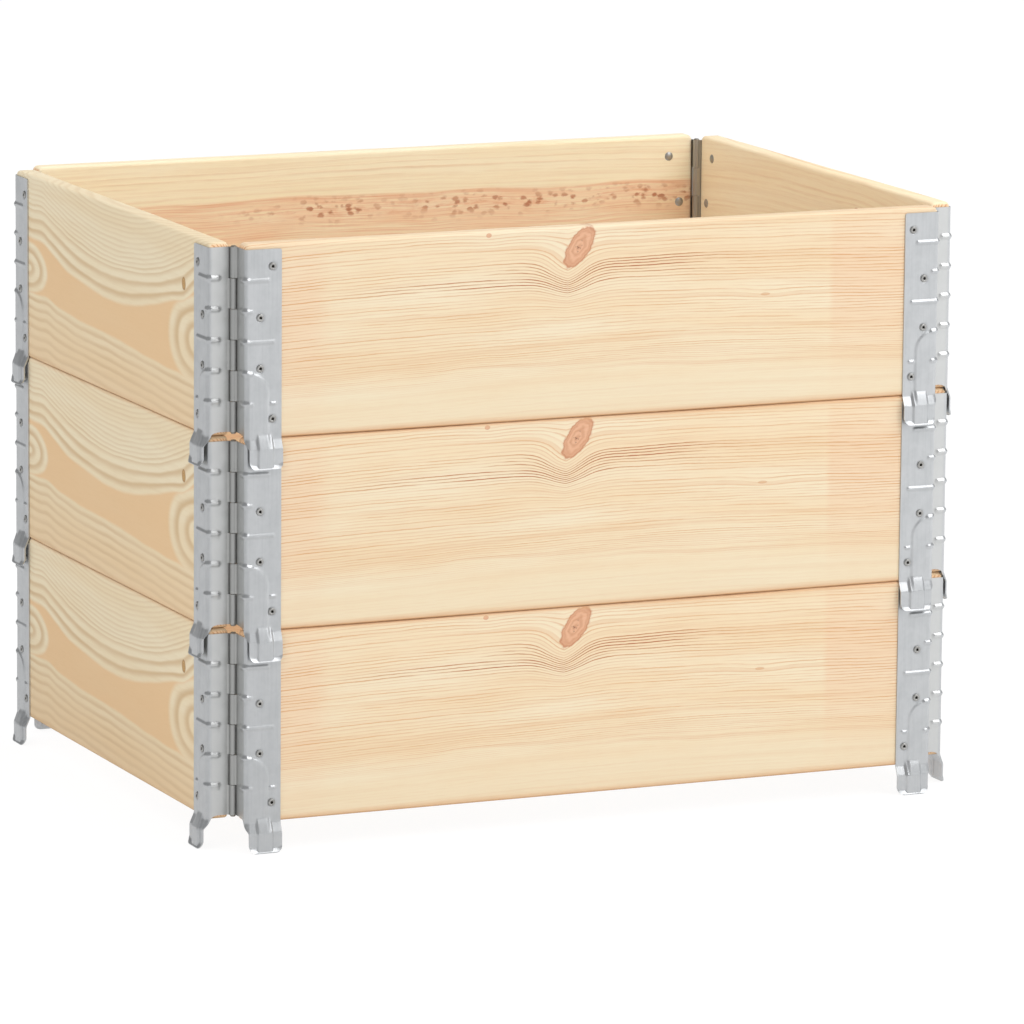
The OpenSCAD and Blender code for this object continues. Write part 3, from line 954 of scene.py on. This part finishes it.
def rivet_profile():
    """From the crown of the round inner head, along the shank, to the bottom of the hollow outer end."""
    grip = BOARD_THICKNESS + SHEET
    dome = (RIVET_HEAD_RADIUS ** 2 + RIVET_HEAD_HEIGHT ** 2) / (2 * RIVET_HEAD_HEIGHT)
    reach = math.degrees(math.asin(RIVET_HEAD_RADIUS / dome))
    head = arc_profile((0.0, dome - RIVET_HEAD_HEIGHT), dome, 270.0, 270.0 + reach)
    rim_middle = (RIM_RADIUS + HOLLOW_RADIUS) / 2
    rim = [
        (RIM_RADIUS, grip - 0.5),
        (RIM_RADIUS, grip + RIM_HEIGHT * 0.25),
        (RIM_RADIUS - 0.35, grip + RIM_HEIGHT * 0.72),
        (rim_middle, grip + RIM_HEIGHT),
        (HOLLOW_RADIUS + 0.3, grip + RIM_HEIGHT * 0.8),
        (HOLLOW_RADIUS, grip + RIM_HEIGHT * 0.3),
        (HOLLOW_RADIUS * 0.9, grip + RIM_HEIGHT - HOLLOW_DEPTH),
        (0.0, grip + RIM_HEIGHT - HOLLOW_DEPTH),
    ]
    return [(0.0, -RIVET_HEAD_HEIGHT)] + head[1:] + [(RIVET_RADIUS, 0.0), (RIVET_RADIUS, grip - 0.5)] + rim


PIN_SEGMENTS = 24
RIVET_SEGMENTS = 28
# The last two rings of a turned rivet's faces line its bore
BORE_FACES = 2 * RIVET_SEGMENTS


def rivets_mesh(name, length):
    """All rivets of one board, in the board's own frame."""
    profile_points, profile_faces = lathe(rivet_profile(), RIVET_SEGMENTS)
    points, faces = [], []
    for sign in (-1, 1):
        for column, row in RIVETS:
            x = sign * (length / 2 - column)
            faces += [[i + len(points) for i in face] for face in profile_faces]
            points += [(x + px, BOARD_THICKNESS - pz, row + py) for px, py, pz in profile_points]
    mesh = mesh_from(name, points, faces, sharp_degrees=60.0)
    solid_faces = len(profile_faces) - BORE_FACES
    for polygon in mesh.polygons:
        polygon.material_index = int(polygon.index % len(profile_faces) >= solid_faces)
    return mesh


def pin_mesh():
    """A hinge pin, peened over at both ends, about its own axis."""
    low = CAP_RISE - PIN_PLAY
    crown = PIN_HEAD_RADIUS - PIN_HEAD_HEIGHT / 2
    profile = [
        (0.0, low - PIN_HEAD_HEIGHT),
        (crown, low - PIN_HEAD_HEIGHT),
        (PIN_HEAD_RADIUS, low - PIN_HEAD_HEIGHT / 2),
        (PIN_HEAD_RADIUS, low),
        (PIN_RADIUS, low),
        (PIN_RADIUS, LEAF_TOP),
        (PIN_HEAD_RADIUS, LEAF_TOP),
        (PIN_HEAD_RADIUS, LEAF_TOP + PIN_HEAD_HEIGHT / 2),
        (crown, LEAF_TOP + PIN_HEAD_HEIGHT * 0.9),
        (0.0, LEAF_TOP + PIN_HEAD_HEIGHT),
    ]
    points, faces = lathe(profile, PIN_SEGMENTS)
    return mesh_from("pin", points, faces, sharp_degrees=60.0)


def board_section(width, height, upper_radius, lower_radius):
    """Points of a rounded rectangle about its middle, with its corner arcs."""
    points = []
    for sx, sy, start in ((1, 1, 0), (-1, 1, 90), (-1, -1, 180), (1, -1, 270)):
        radius = upper_radius if sy > 0 else lower_radius
        cx, cy = sx * (width / 2 - radius), sy * (height / 2 - radius)
        points += arc_profile((cx, cy), radius, start, start + 90, 7)
    return points


def board_stations(length):
    """Places of the cross-sections along a board, closer together at its round ends."""
    ends = [CORNER_RADIUS * (1 - math.cos(math.radians(a))) for a in range(0, 91, 15)]
    half = ends + list(np.linspace(ends[-1] + 6.0, length / 2, HALF_STATIONS))
    return [x - length / 2 for x in half] + [length / 2 - x for x in reversed(half[:-1])]


def board_mesh(name, length, seed):
    """A planed board with eased edges and rounded ends, its long edges a little uneven."""
    generator = np.random.default_rng(seed)
    waves = generator.uniform(0.0, 2 * math.pi, (4, WAVES))
    points, rings = [], []
    for x in board_stations(length):
        to_end = length / 2 - abs(x)
        height = BOARD_HEIGHT - 2 * round_inset(CORNER_RADIUS, to_end)
        thickness = BOARD_THICKNESS - 2 * round_inset(WOOD_BEND, to_end)
        swell = sum(math.sin(x * WAVE_RATE * (k + 1) + waves[0, k]) / (k + 1) for k in range(WAVES))
        drop = EDGE_DROP * abs(swell)
        radius = EDGE_RADIUS + 0.5 * math.sin(x * 0.017 + waves[1, 0]) - 0.3
        section = board_section(thickness, height, radius, LOWER_EDGE_RADIUS)
        ring = []
        for w, v in section:
            ring.append(len(points))
            z = BOARD_HEIGHT / 2 + v
            if v > BOARD_HEIGHT / 2 - EDGE_RADIUS * 0.9:
                z -= drop
            points.append((x, BOARD_THICKNESS / 2 + w, z))
        rings.append(ring)
    count = len(rings[0])
    faces = [list(rings[0]), list(reversed(rings[-1]))]
    for low, high in zip(rings, rings[1:]):
        for i in range(count):
            j = (i + 1) % count
            faces.append([low[j], low[i], high[i], high[j]])
    return mesh_from(name, points, faces, sharp_degrees=50.0)


# Assembly


def board_frame(collar, side):
    """The board's own frame (X along it, Y in from its outer face, Z up from its lower edge), its length and
    the height of its lower edge."""
    turn = Matrix.Rotation(math.radians(90 * SIDES.index(side)), 4, "Z")
    corners = [turn.inverted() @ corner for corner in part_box(f"{collar}_{side}_board")]
    low = [min(c[i] for c in corners) for i in range(3)]
    high = [max(c[i] for c in corners) for i in range(3)]
    return turn @ Matrix.Translation((0.0, low[1], low[2])), (high[0] - low[0]) / MM, low[2] / MM


def add_object(name, data):
    made = bpy.data.objects.new(name, data)
    bpy.context.scene.collection.objects.link(made)
    return made


def piece(name, mesh, matrix, body, node, material):
    """One piece of the visual model, in place of a node of the solids."""
    made = add_object(name, mesh)
    made.matrix_world = matrix
    if material.name not in mesh.materials:
        mesh.materials.append(material)
    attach(made, body)
    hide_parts(node)


# The cap colour below is painted light that brightens the leaves' end caps
steel = galvanised("galvanised_sheet", srgb(204, 206, 208), srgb(186, 189, 191), 0.28,
                   cap=srgb(214, 215, 214))
rivet_steel = galvanised("rivet_steel", srgb(190, 190, 188), srgb(146, 144, 140), 0.34)
# Painted shade: the rivets' hollow ends are given a dark colour
rivet_bore_shade = galvanised("rivet_bore_shade", srgb(84, 80, 74), srgb(50, 46, 42), 0.55)
pin_steel = galvanised("pin_steel", srgb(172, 168, 160), srgb(140, 132, 120), 0.40)

leaf_meshes = [leaf_mesh(0), leaf_mesh(1)]
pins = pin_mesh()
HALF_WIDTH = -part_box("bottom_front_board")[0].y / MM
HALF_LENGTH = -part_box("bottom_left_board")[0].x / MM

for collar in COLLARS:
    for side, corner in zip(SIDES, CORNERS):
        body = f"{collar}_{side}"
        matrix, length, base = board_frame(collar, side)
        covered = collar != COLLARS[-1]
        wood = pine(f"pine_{body}", side, base, LOOKS[side], HALF_LENGTH, HALF_WIDTH, covered)
        mesh = board_mesh(f"{body}_wood", length, 11 + SIDES.index(side))
        # The board's mesh is laid in the row's own frame, which its grain is drawn in
        mesh.transform(matrix)
        piece(f"{body}_wood", mesh, Matrix.Identity(4), body, f"{body}_board", wood)
        for end, end_name in enumerate(("left", "right")):
            place = matrix @ Matrix.Translation(((2 * end - 1) * length / 2 * MM, 0.0, 0.0))
            piece(f"{body}_hinge_{end_name}", leaf_meshes[end], place, body, f"{body}_leaf_{end_name}",
                  steel)
        rivets = rivets_mesh(f"{body}_rivet_set", length)
        piece(f"{body}_rivet_set", rivets, matrix, body, f"{body}_rivets", rivet_steel)
        rivets.materials.append(rivet_bore_shade)
        axis = Vector((-(length / 2 + KNUCKLE_RADIUS) * MM, PIN_FROM_FACE * MM, 0.0))
        piece(f"{collar}_{corner}_hinge_pin", pins, matrix @ Matrix.Translation(axis), body,
              f"{collar}_pin_{corner}", pin_steel)


# Floor, light and camera

# Half the floor's width, in metres
FLOOR_HALF = 40.0
FLOOR_GREY = (0.86, 0.86, 0.86, 1.0)
FLOOR_GLOW = 1.07
FLOOR_GLOW_SHARE = 0.85
# Where the reflected floor turns from dark to bright, in millimetres
POOL = (-400.0, 1700.0)
WHITE = (1.0, 1.0, 1.0, 1.0)


def floor():
    """A plain white floor that keeps a faint shadow."""
    mesh = bpy.data.meshes.new("floor")
    corners = [(sx * FLOOR_HALF, sy * FLOOR_HALF, 0.0) for sx, sy in ((-1, -1), (1, -1), (1, 1), (-1, 1))]
    mesh.from_pydata(corners, [], [(0, 1, 2, 3)])
    made = add_object("floor", mesh)
    graph = MaterialGraph("floor")
    graph.set("Base Color", FLOOR_GREY)
    graph.set("Roughness", 0.9)
    graph.set("Specular IOR Level", 0.0)
    glow = graph.node("ShaderNodeEmission")
    blend = graph.node("ShaderNodeMixShader")
    mirror_ray = graph.ray("Is Glossy Ray")
    seen = graph.math("ADD", graph.ray("Is Camera Ray"), mirror_ray, clamp=True)
    graph.feed(blend.inputs[0], seen * FLOOR_GLOW_SHARE)
    # In reflections the floor is lit from the right, under the softboxes
    pool = graph.smooth(POOL[0], POOL[1], graph.coordinates()[0]) * 0.37 - 0.25
    graph.feed(glow.inputs["Strength"], mirror_ray * pool + FLOOR_GLOW)
    graph.tree.links.new(graph.shader.outputs[0], blend.inputs[1])
    graph.tree.links.new(glow.outputs[0], blend.inputs[2])
    graph.tree.links.new(blend.outputs[0], graph.tree.nodes["Material Output"].inputs[0])
    mesh.materials.append(graph.material)


def world(strength, dark, bright_side):
    """A white studio: white where it is seen, softer where it lights. Reflections show a white sweep low
    down on one side and a darker room elsewhere."""
    made = bpy.data.worlds.new("studio")
    made.use_nodes = True
    bpy.context.scene.world = made
    graph = Graph(made.node_tree)
    x, y, z = graph.parts("Generated")
    side = Vector(bright_side).normalized()
    low_down = 1.0 - graph.smooth(0.08, 0.45, z)
    sweep = graph.smooth(-0.2, 0.8, x * side.x + y * side.y + z * side.z) * low_down
    reflected = sweep * (1.0 - dark) + dark
    mirror_ray = graph.math("ADD", graph.ray("Is Glossy Ray"), graph.ray("Is Transmission Ray"), clamp=True)
    level = mirror_ray * (reflected - strength) + strength
    level = graph.ray("Is Camera Ray") * (1.0 - level) + level
    graph.feed(graph.tree.nodes["Background"].inputs["Strength"], level)
    graph.tree.nodes["Background"].inputs["Color"].default_value = WHITE


def area_light(name, place, target, size, power, reflects=True):
    data = bpy.data.lights.new(name, "AREA")
    data.shape = "RECTANGLE"
    data.size, data.size_y = size
    data.energy = power
    made = add_object(name, data)
    made.visible_glossy = reflects
    made.location = place
    made.rotation_euler = (Vector(target) - Vector(place)).to_track_quat("-Z", "Y").to_euler()


def camera(place, heading, tilt, roll, lens):
    data = bpy.data.cameras.new("camera")
    data.sensor_width = 36.0
    data.lens = lens
    data.clip_end = 100.0
    made = add_object("camera", data)
    turn = Matrix.Translation(place)
    for degrees, axis_name in ((-heading, "Z"), (-tilt, "X"), (-roll, "Y"), (90.0, "X")):
        turn = turn @ Matrix.Rotation(math.radians(degrees), 4, axis_name)
    made.matrix_world = turn
    bpy.context.scene.camera = made


floor()
world(strength=0.74, dark=0.28, bright_side=(0.45, -0.85, 0.0))
area_light("key", place=(2.37, -1.66, 3.75), target=(0.0, 0.0, 0.3), size=(3.4, 3.4), power=50.0)
area_light("strip", place=(1.75, -2.70, 3.03), target=(0.0, -0.3, 0.35), size=(1.7, 2.9), power=34.0)
area_light("fill", place=(-2.45, -0.9, 4.0), target=(0.0, 0.0, 0.3), size=(3.0, 3.0), power=36.0,
           reflects=False)
camera(place=(-2.904, -6.675, 1.619), heading=23.81, tilt=10.56, roll=0.49, lens=253.4)
bpy.context.scene.view_settings.view_transform = "Standard"
